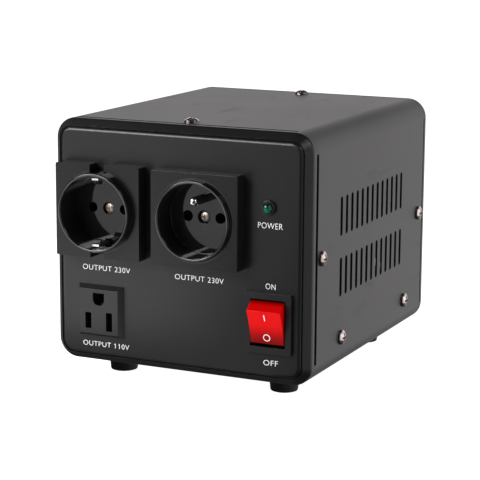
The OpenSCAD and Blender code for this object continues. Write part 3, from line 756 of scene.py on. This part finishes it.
@dataclass(frozen=True)
class Laminate(Finish):
    """Stack of thin varnished steel sheets."""

    colour: Colour
    sheet_mm: float = 0.5
    sheet_depth_mm: float = 0.08
    rust: Patches = Patches(8.0, (0.5, 0.75), 0.6, (0.12, 0.07, 0.045))
    metal_share: float = 0.7
    rough: float = 0.4
    rust_rough: float = 0.25
    sheet_rough: float = 0.08

    def brew(self) -> bpy.types.Material:
        """Builds the material.

        Returns:
            The material.
        """
        recipe = self.recipe()
        sheet = (recipe.axis("Y") * (math.pi / (self.sheet_mm * MM))).wave().size()
        rust = self.rust.spread(recipe)
        return recipe.surface({
            "Base Color": recipe.blend(rust, self.colour, self.rust.tone),
            "Metallic": self.metal_share,
            "Roughness": self.rough + rust * self.rust_rough + sheet * self.sheet_rough,
            "Normal": recipe.bump(sheet, self.sheet_depth_mm),
        })


@dataclass(frozen=True)
class GlassTube(Finish):
    """Glass body of a fuse link, with a faint haze."""

    colour: Colour
    haze_mm: float = 2.0
    tones: Span = (1.0, 0.9)
    rough: float = 0.05
    haze_rough: float = 0.1
    clear: float = 0.7

    def brew(self) -> bpy.types.Material:
        """Builds the material.

        Returns:
            The material.
        """
        recipe = self.recipe()
        haze = recipe.cloud(self.haze_mm, 3)
        return recipe.surface({
            "Base Color": recipe.uneven(haze, self.colour, self.tones),
            "Roughness": self.rough + haze * self.haze_rough,
            "Transmission Weight": self.clear,
        })


PANEL = Moulding("satin_panel", (0.0045, 0.0045, 0.0047), 0.33)
COVER = Paint("satin_cover", (0.012, 0.0117, 0.0123), 0.38)
BLOCK = Moulding("matt_block", (0.0045, 0.0045, 0.0045), 0.3, 0.6)
BEZEL = Moulding("satin_bezel", (0.005, 0.005, 0.0052), 0.34, 0.6)
RUBBER = Rubber("black_rubber", (0.004, 0.004, 0.004))
NICKEL = Metal("nickel_plate", (0.6, 0.54, 0.52), (0.36, 0.27, 0.25), 0.08, depth_mm=0.002)
WELL_SCREW = Metal("dull_nickel", (0.6, 0.52, 0.46), (0.34, 0.25, 0.2), 0.42)
CLIP = Metal("clip_metal", (0.8, 0.79, 0.76), (0.6, 0.56, 0.5), 0.16)
BRASS = Metal("contact_brass", (0.3, 0.22, 0.11), (0.14, 0.1, 0.06), 0.42, Lay.ROLLED_Y)
ZINC = Spangle("zinc_sheet", (0.6, 0.61, 0.63))
CORE = Laminate("laminated_core", (0.16, 0.155, 0.15))
COPPER = Wire("enamelled_wire", (0.62, 0.27, 0.1))
NYLON = Moulding("nylon_bobbin", (0.55, 0.5, 0.38), 0.5, 0.8, 0.015, 0.1, LITTLE_DUST)
GLASS = GlassTube("fuse_glass", (0.85, 0.88, 0.88))
INK = Ink("white_ink", (0.7, 0.7, 0.7))


# Common ways of making and dressing pieces

WELD_M = 1e-6
MERGE_M = 1e-7
FLAT_DEG = 0.3
SHARP_DEG = 28.0
EDGE_FACES = 2
FACE_WEIGHT = 80


def round_edges(node: bpy.types.Object, width_mm: float) -> None:
    """Softens the sharp edges of one of the frame's pieces by modifiers.

    Args:
        node: The piece.
        width_mm: Width of the rounding.
    """
    weld = node.modifiers.new("weld", "WELD")
    weld.merge_threshold = WELD_M
    flats = node.modifiers.new("flats", "DECIMATE")
    flats.decimate_type = "DISSOLVE"
    flats.angle_limit = math.radians(FLAT_DEG)
    edge = node.modifiers.new("edge", "BEVEL")
    edge.width = width_mm * MM
    edge.segments = EDGE_FACES
    edge.profile = 0.5
    edge.limit_method = "ANGLE"
    edge.angle_limit = math.radians(SHARP_DEG)
    edge.use_clamp_overlap = True
    even = node.modifiers.new("even", "WEIGHTED_NORMAL")
    even.weight = FACE_WEIGHT


def new_piece(name: str, mesh: bmesh.types.BMesh, finish: Finish, body: str) -> None:
    """Makes an object of a finished mesh and lets it ride on a body.

    Args:
        name: Name of the piece.
        mesh: Its mesh, in place; it is freed.
        finish: Its finish.
        body: The body that it moves with.
    """
    bmesh.ops.remove_doubles(mesh, verts=mesh.verts, dist=MERGE_M)
    bmesh.ops.recalc_face_normals(mesh, faces=mesh.faces)
    data = bpy.data.meshes.new(name)
    mesh.to_mesh(data)
    mesh.free()
    data.materials.append(material_of(finish))
    piece = bpy.data.objects.new(name, data)
    bpy.context.scene.collection.objects.link(piece)
    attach(piece, body)
    LOG.info("built %s on %s", name, body)


class SubAssembly:
    """Pieces that are built and dressed together."""

    def build(self) -> None:
        """Makes the pieces that the frame lacks."""

    def coats(self) -> Coats:
        """Finish and edge width in mm of each of the frame's pieces."""
        return {}

    def dress(self) -> None:
        """Rounds the edges and sets the finishes of the frame's pieces."""
        for name, (finish, edge_mm) in self.coats().items():
            node = frame["nodes"][name]
            node.data.materials.clear()
            node.data.materials.append(material_of(finish))
            if edge_mm:
                round_edges(node, edge_mm)
            LOG.info("dressed %s", name)


# Sub-assemblies


@dataclass
class Case(SubAssembly):
    """Bevelled end panels, the sheet cover between them, its tray and screws."""

    panel_edge_mm: float = 0.2
    cover_edge_mm: float = 0.12
    sheet_edge_mm: float = 0.25
    head_edge_mm: float = 0.15

    def coats(self) -> Coats:
        """Says what each piece wears.

        Returns:
            Finish and edge width in mm of each piece.
        """
        return {
            "front_panel": (PANEL, self.panel_edge_mm),
            "rear_panel": (PANEL, self.panel_edge_mm),
            "wrap_cover": (COVER, self.cover_edge_mm),
            "base_tray": (ZINC, self.sheet_edge_mm),
            "cover_screws": (NICKEL, self.head_edge_mm),
        }


@dataclass
class Feet(SubAssembly):
    """Four rubber feet with their screws and nuts."""

    foot_edge_mm: float = 0.6
    head_edge_mm: float = 0.15

    def coats(self) -> Coats:
        """Says what each piece wears.

        Returns:
            Finish and edge width in mm of each piece.
        """
        corners = [f"foot_{end}_{side}" for end in ("front", "rear") for side in ("left", "right")]
        feet = {name: (RUBBER, self.foot_edge_mm) for name in corners}
        return feet | {
            "foot_screws": (NICKEL, self.head_edge_mm),
            "foot_nuts": (ZINC, self.head_edge_mm),
        }


@dataclass
class RoundOutlet(SubAssembly):
    """One round plug well on its plate, with contacts, screw and rear cup."""

    kind: str
    wall_mm: float = 19.6
    collar_mm: float = 22.4
    body_edge_mm: float = 0.55
    metal_edge_mm: float = 0.15

    def coats(self) -> Coats:
        """Says what each piece wears.

        Returns:
            Finish and edge width in mm of each piece.
        """
        low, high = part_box(f"{self.kind}_outlet_screw")
        middle = (low + high) / 2 / MM
        moulding = OutletMoulding(f"{self.kind}_outlet_moulding", middle.x, middle.z,
                                  self.wall_mm, self.collar_mm)
        pieces = {
            "housing": (moulding, self.body_edge_mm),
            "contacts": (BRASS, self.metal_edge_mm),
            "screw": (WELL_SCREW, self.metal_edge_mm),
            "back": (BLOCK, self.body_edge_mm),
        }
        return {f"{self.kind}_outlet_{piece}": look for piece, look in pieces.items()}


@dataclass
class ClipOutlet(RoundOutlet):
    """Round well with earth clips at its top and bottom."""

    kind: str = "clip"

    def coats(self) -> Coats:
        """Finish and edge width in mm of each piece."""
        return super().coats() | {"clip_outlet_strap": (CLIP, self.metal_edge_mm)}


@dataclass
class PinOutlet(RoundOutlet):
    """Round well with an earth pin."""

    kind: str = "pin"

    def coats(self) -> Coats:
        """Finish and edge width in mm of each piece."""
        return super().coats() | {"pin_outlet_earth_pin": (CLIP, 0.0)}


@dataclass
class BladeOutlet(SubAssembly):
    """Drafted block with two blade slots and a ground hole."""

    block_edge_mm: float = 0.3
    leaf_edge_mm: float = 0.1

    def coats(self) -> Coats:
        """Says what each piece wears.

        Returns:
            Finish and edge width in mm of each piece.
        """
        return {
            "blade_outlet_housing": (BLOCK, self.block_edge_mm),
            "blade_outlet_contacts": (BRASS, self.leaf_edge_mm),
        }


@dataclass
class RockerSwitch(SubAssembly):
    """Rocker in its frame, with its two printed marks."""

    tilt_deg: float = 17.0
    mid_mm: float = 4.66
    dish_mm: float = 57.0
    bar_up_mm: float = 5.7
    ring_up_mm: float = -6.0
    bar_w_mm: float = 0.48
    bar_h_mm: float = 3.8
    ring_r_mm: float = 1.76
    ring_w_mm: float = 0.4
    ring_steps: int = 48
    ink_mm: float = 0.06
    red: Colour = (0.5, 0.001, 0.0014)
    # Painted shade on the rocker: its red darkens to this colour between these two depths behind
    # its front.
    red_in_shade: Colour = (0.05, 0.0, 0.0)
    shade_start_mm: float = 2.8
    shade_full_mm: float = 6.5
    rocker_edge_mm: float = 0.7
    frame_edge_mm: float = 0.35

    def coats(self) -> Coats:
        """Says what each piece wears.

        Returns:
            Finish and edge width in mm of each piece.
        """
        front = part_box("switch_rocker")[0].y / MM
        tint = Tint("red_tint", self.red, self.red_in_shade, front + self.shade_start_mm,
                    front + self.shade_full_mm)
        return {
            "switch_frame": (BEZEL, self.frame_edge_mm),
            "switch_rocker": (tint, self.rocker_edge_mm),
            "switch_terminals": (BRASS, 0.0),
        }

    def build(self) -> None:
        """Prints the bar and the ring on the rocker."""
        new_piece("rocker_mark_bar", self.bar(), INK, "rocker")
        new_piece("rocker_mark_ring", self.ring(), INK, "rocker")

    def bar(self) -> bmesh.types.BMesh:
        """Makes the upright bar.

        Returns:
            Its mesh, in place.
        """
        bar = bmesh.new()
        bmesh.ops.create_cube(bar, size=MM)
        bmesh.ops.scale(bar, verts=bar.verts, vec=(self.bar_w_mm, self.bar_h_mm, self.ink_mm))
        bmesh.ops.transform(bar, matrix=self.on_rocker(self.bar_up_mm), verts=bar.verts)
        return bar

    def ring(self) -> bmesh.types.BMesh:
        """Makes the ring.

        Returns:
            Its mesh, in place.
        """
        ring = bmesh.new()
        inner = self.ring_r_mm - self.ring_w_mm / 2
        outer = self.ring_r_mm + self.ring_w_mm / 2
        low, high = -self.ink_mm / 2, self.ink_mm / 2
        section = ((inner, low), (outer, low), (outer, high), (inner, high))
        rows = []
        for step in range(self.ring_steps):
            turn = Matrix.Rotation(math.tau * step / self.ring_steps, 3, "Z")
            rows.append([ring.verts.new(turn @ Vector((r, 0, z)) * MM) for r, z in section])
        for row, after in zip(rows, rows[1:] + rows[:1]):
            for here, there in zip(range(len(section)), range(-1, len(section) - 1)):
                ring.faces.new((row[here], after[here], after[there], row[there]))
        bmesh.ops.transform(ring, matrix=self.on_rocker(self.ring_up_mm), verts=ring.verts)
        return ring

    def on_rocker(self, up_mm: float) -> Matrix:
        """Place on the dished face, at rest.

        Args:
            up_mm: Distance above the middle, along the face.

        Returns:
            Where a mark drawn in the XY plane, with Y up the face, has to go.
        """
        joint = next(j for j in frame["joints"] if j["name"] == "rocker_press")
        slope = up_mm / self.dish_mm
        out = self.mid_mm + up_mm * slope / 2
        stand = Matrix.Rotation(math.radians(90 + self.tilt_deg), 4, "X")
        local = Matrix.Translation(Vector((0, up_mm, out)) * MM)
        return Matrix.Translation(joint["pos_m"]) @ stand @ local @ Matrix.Rotation(slope, 4, "X")


@dataclass
class PilotLight(SubAssembly):
    """Green lens in its black ring."""

    ring_edge_mm: float = 0.25
    # The lens's green and the colour of its painted shade, at the head and rim.
    green: Colour = (0.001, 0.09, 0.043)
    green_in_shade: Colour = (0.0, 0.018, 0.008)

    def coats(self) -> Coats:
        """Says what each piece wears.

        Returns:
            Finish and edge width in mm of each piece.
        """
        low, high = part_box("light_lens")
        middle = (low + high) / 2 / MM
        radius_mm = (high.z - low.z) / 2 / MM
        lens = Lens("green_lens", self.green, self.green_in_shade, middle.x, middle.z, radius_mm)
        return {
            "light_holder": (BEZEL, self.ring_edge_mm),
            "light_lens": (lens, 0.0),
        }


@dataclass
class Transformer(SubAssembly):
    """Laminated core, bobbin, winding, strap and bolts inside the case."""

    core_edge_mm: float = 0.2
    coil_edge_mm: float = 1.0

    def coats(self) -> Coats:
        """Says what each piece wears.

        Returns:
            Finish and edge width in mm of each piece.
        """
        return {
            "core": (CORE, self.core_edge_mm),
            "bobbin": (NYLON, self.core_edge_mm),
            "winding": (COPPER, self.coil_edge_mm),
            "core_strap": (ZINC, self.core_edge_mm),
            "strap_bolts": (ZINC, self.core_edge_mm),
            "core_bolts": (ZINC, self.core_edge_mm),
        }


@dataclass
class RearFittings(SubAssembly):
    """Cord bush and fuse holder on the rear panel."""

    bush_edge_mm: float = 0.5
    holder_edge_mm: float = 0.3

    def coats(self) -> Coats:
        """Says what each piece wears.

        Returns:
            Finish and edge width in mm of each piece.
        """
        return {
            "cord_bush": (RUBBER, self.bush_edge_mm),
            "fuse_holder": (BEZEL, self.holder_edge_mm),
            "fuse_nut": (BLOCK, self.holder_edge_mm),
            "fuse_link": (GLASS, 0.0),
            "fuse_cap": (BEZEL, self.holder_edge_mm),
        }


@dataclass
class Terminals(SubAssembly):
    """Terminal block and earth stud inside the case."""

    edge_mm: float = 0.2

    def coats(self) -> Coats:
        """Says what each piece wears.

        Returns:
            Finish and edge width in mm of each piece.
        """
        return {
            "earth_stud": (ZINC, self.edge_mm),
            "terminal_block": (NYLON, self.edge_mm),
            "terminal_screws": (BRASS, self.edge_mm),
        }


@dataclass(frozen=True)
class PrintLine:
    """One line of print and the box that its letters fill on the face, in mm."""

    name: str
    words: str
    left: float
    right: float
    foot: float
    head: float


@dataclass
class FrontPrint(SubAssembly):
    """White lettering on the front panel; sizes without mm are in the font's own size."""

    ink_mm: float = 0.05
    curve_steps: int = 4
    font_depth: float = 0.5
    thinner: float = -0.009
    spread: float = 1.06
    join: float = 1e-5
    one_gap: float = 4.0
    flag_turn_deg: float = 38.0
    flag_size: Point = (0.32, 0.1, 0.98)
    flag_shift: Span = (0.07, 0.15)
    lines: tuple[PrintLine, ...] = (
        PrintLine("print_power", "POWER", 46.0, 59.9, 92.9, 96.0),
        PrintLine("print_on", "ON", 50.6, 56.2, 61.3, 64.3),
        PrintLine("print_off", "OFF", 49.7, 57.9, 20.9, 23.8),
        PrintLine("print_output_left", "OUTPUT 230V", -57.4, -28.5, 61.5, 64.3),
        PrintLine("print_output_right", "OUTPUT 230V", -1.7, 26.7, 61.4, 64.2),
        PrintLine("print_output_low", "OUTPUT 110V", -57.7, -29.4, 19.4, 22.1),
    )

    def build(self) -> None:
        """Prints every line on the face."""
        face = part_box("front_panel")[0].y
        for line in self.lines:
            letters = self.letters(line)
            self.flag_ones(letters, line.words)
            self.put(letters, line, face)
            new_piece(line.name, letters, INK, "case")

    def letters(self, line: PrintLine) -> bmesh.types.BMesh:
        """Makes the letters of one line.

        Args:
            line: The line.

        Returns:
            Thin closed letters in the font's own size.
        """
        curve = bpy.data.curves.new(line.name, "FONT")
        curve.body = line.words
        curve.resolution_u = self.curve_steps
        curve.extrude = self.font_depth
        curve.offset = self.thinner
        curve.space_character = self.spread
        for place, figure in enumerate(line.words):
            if figure == "1":
                curve.body_format[place - 1].kerning = self.one_gap
        holder = bpy.data.objects.new(line.name, curve)
        bpy.context.scene.collection.objects.link(holder)
        graph = bpy.context.evaluated_depsgraph_get()
        mesh = bpy.data.meshes.new_from_object(holder.evaluated_get(graph))
        letters = bmesh.new()
        letters.from_mesh(mesh)
        bpy.data.objects.remove(holder)
        bpy.data.meshes.remove(mesh)
        bpy.data.curves.remove(curve)
        return letters

    def flag_ones(self, letters: bmesh.types.BMesh, words: str) -> None:
        """Adds the slanted stroke that the plain figure 1 lacks.

        Args:
            letters: The letters of a line, in the font's own size.
            words: What they say.
        """
        bmesh.ops.remove_doubles(letters, verts=letters.verts, dist=self.join)
        glyphs = sorted(self.islands(letters), key=lambda glyph: min(v.co.x for v in glyph))
        along, thick, deep = self.flag_size
        back, down = self.flag_shift
        turn = Matrix.Rotation(math.radians(self.flag_turn_deg), 3, "Z")
        for glyph, figure in zip(glyphs, words.replace(" ", "")):
            if figure != "1":
                continue
            left = min(v.co.x for v in glyph)
            head = max(v.co.y for v in glyph)
            tall = head - min(v.co.y for v in glyph)
            place = (left - back * tall, head - down * tall, 0)
            flag = bmesh.ops.create_cube(letters, size=1.0)["verts"]
            bmesh.ops.scale(letters, verts=flag, vec=(along * tall, thick * tall, deep))
            bmesh.ops.rotate(letters, verts=flag, matrix=turn)
            bmesh.ops.translate(letters, verts=flag, vec=place)

    @staticmethod
    def islands(letters: bmesh.types.BMesh) -> list[set[bmesh.types.BMVert]]:
        """Finds the connected pieces of a mesh.

        Args:
            letters: The mesh.

        Returns:
            The vertices of each piece.
        """
        left, found = set(letters.verts), []
        while left:
            glyph, rim = set(), {left.pop()}
            while rim:
                glyph |= rim
                rim = {e.other_vert(v) for v in rim for e in v.link_edges} - glyph
            left -= glyph
            found.append(glyph)
        return found

    def put(self, letters: bmesh.types.BMesh, line: PrintLine, face: float) -> None:
        """Fits letters into their box, just proud of the face.

        Args:
            letters: The letters of a line, in the font's own size.
            line: The line.
            face: Y of the panel's face.
        """
        low = Vector([min(v.co[i] for v in letters.verts) for i in range(3)])
        high = Vector([max(v.co[i] for v in letters.verts) for i in range(3)])
        span = high - low
        wide, tall = line.right - line.left, line.head - line.foot
        bmesh.ops.translate(letters, verts=letters.verts, vec=-(low + high) / 2)
        bmesh.ops.scale(letters, verts=letters.verts,
                        vec=(wide / span.x * MM, tall / span.y * MM, self.ink_mm / span.z * MM))
        bmesh.ops.rotate(letters, verts=letters.verts, matrix=Matrix.Rotation(math.pi / 2, 3, "X"))
        middle = Vector((line.left + line.right, 0, line.foot + line.head)) / 2 * MM
        bmesh.ops.translate(letters, verts=letters.verts, vec=middle + Vector((0, face, 0)))


# Studio


@dataclass(frozen=True)
class Panel:
    """A soft light: place and aim in metres, size in metres, power in watts."""

    name: str
    place: Point
    aim: Point
    size: Span
    power: float


@dataclass
class Studio:
    """Pale floor, surround, soft lights and the camera.

    The spans say where, along the direction that a ray takes, the surround goes from one level
    to the next.
    """

    camera_mm: Point = (413.49, -891.56, 263.28)
    aim_mm: Point = (-6.131, 1.5, 65.845)
    roll_deg: float = 0.331
    lens_mm: float = 132.17
    sensor_mm: float = 36.0
    clip_m: Span = (0.05, 60.0)
    floor_m: float = 30.0
    floor_tone: Colour = (0.86, 0.86, 0.86)
    floor_rough: float = 0.9
    floor_gloss: float = 0.1
    floor_glow: float = 1.0
    glow_tone: Colour = (1.0, 1.0, 1.0)
    tint: Colour = (1.0, 0.97, 0.975)
    front_glow: float = 0.06
    back_glow: float = 0.97
    back_span: Span = (-0.4, 0.5)
    overhead: float = 0.08
    sky_span: Span = (0.27, 0.58)
    left_share: float = 0.15
    left_span: Span = (-0.9, -0.6)
    right_share: float = 1.25
    right_span: Span = (0.5, 0.9)
    right_glow: float = 0.6
    glow_span: Span = (0.65, 0.95)
    panels: tuple[Panel, ...] = (
        Panel("left_front", (-0.451, -0.647, 0.528), (0, -0.09, 0.08), (0.65, 0.3), 8.5),
        Panel("table_bounce", (-0.38, -0.46, 0.006), (-0.384, -0.47, 1.0), (0.44, 0.8), 1.75),
        Panel("foot_bounce", (-0.11, -0.16, 0.004), (-0.11, -0.16, 1.0), (0.32, 0.14), 0.06),
        Panel("right_high", (0.9, -0.35, 0.95), (0, 0, 0.07), (0.4, 0.4), 2.5),
    )

    def build(self) -> None:
        """Sets up everything round the part."""
        self.lay_floor()
        self.light_surround()
        self.hang_lights()
        self.stand_camera()
        bpy.context.scene.view_settings.view_transform = "Standard"

    def lay_floor(self) -> None:
        """Lays the pale floor under the feet."""
        mesh = bmesh.new()
        bmesh.ops.create_grid(mesh, x_segments=2, y_segments=2, size=self.floor_m / 2)
        data = bpy.data.meshes.new("floor")
        mesh.to_mesh(data)
        mesh.free()
        recipe = Recipe(bpy.data.materials.new("pale_floor"))
        data.materials.append(recipe.surface({
            "Base Color": self.floor_tone,
            "Roughness": self.floor_rough,
            "Specular IOR Level": self.floor_gloss,
            "Emission Color": self.glow_tone,
            "Emission Strength": self.floor_glow,
        }))
        floor = bpy.data.objects.new("floor", data)
        floor.visible_glossy = False
        bpy.context.scene.collection.objects.link(floor)

    def light_surround(self) -> None:
        """Lights the surround, darker in front, above and below."""
        world = bpy.data.worlds.new("surround")
        bpy.context.scene.world = world
        recipe = Recipe(world, "Generated")
        back = recipe.step(recipe.axis("Y"), self.back_span, self.front_glow, self.back_glow)
        sky = recipe.step(recipe.axis("Z").size(), self.sky_span, 1.0, self.overhead)
        left = recipe.step(recipe.axis("X"), self.left_span, self.left_share, 1.0)
        right = recipe.step(recipe.axis("X"), self.right_span, 1.0, self.right_share)
        glow = recipe.step(recipe.axis("X"), self.glow_span, 0.0, self.right_glow)
        sockets = {"Color": self.tint, "Strength": (back * left * right + glow) * sky}
        recipe.close(recipe.node("ShaderNodeBackground", None, sockets), "ShaderNodeOutputWorld")

    def hang_lights(self) -> None:
        """Hangs the soft lights, out of the camera's sight."""
        for panel in self.panels:
            lamp = bpy.data.lights.new(panel.name, "AREA")
            lamp.shape = "RECTANGLE"
            lamp.size, lamp.size_y = panel.size
            lamp.energy = panel.power
            holder = bpy.data.objects.new(panel.name, lamp)
            holder.visible_camera = False
            bpy.context.scene.collection.objects.link(holder)
            ahead = Vector(panel.aim) - Vector(panel.place)
            turn = ahead.to_track_quat("-Z", "Y").to_matrix().to_4x4()
            holder.matrix_world = Matrix.Translation(panel.place) @ turn

    def stand_camera(self) -> None:
        """Stands the camera where the photograph was taken from."""
        data = bpy.data.cameras.new("camera")
        data.lens = self.lens_mm
        data.sensor_width = self.sensor_mm
        data.clip_start, data.clip_end = self.clip_m
        camera = bpy.data.objects.new("camera", data)
        bpy.context.scene.collection.objects.link(camera)
        place = Vector(self.camera_mm) * MM
        ahead = (Vector(self.aim_mm) * MM - place).normalized()
        right = ahead.cross(Vector((0, 0, 1))).normalized()
        turn = Matrix((right, right.cross(ahead), -ahead)).transposed().to_4x4()
        roll = Matrix.Rotation(math.radians(self.roll_deg), 4, "Z")
        camera.matrix_world = Matrix.Translation(place) @ turn @ roll
        bpy.context.scene.camera = camera


def main() -> None:
    """Builds the studio and every sub-assembly, in order."""
    logging.basicConfig(level=logging.INFO, format="%(name)s: %(message)s")
    Studio().build()
    groups = (Case(), Feet(), ClipOutlet(), PinOutlet(), BladeOutlet(), RockerSwitch(),
              PilotLight(), Transformer(), RearFittings(), Terminals(), FrontPrint())
    for group in groups:
        group.build()
        group.dress()


if __name__ == "__main__":
    main()
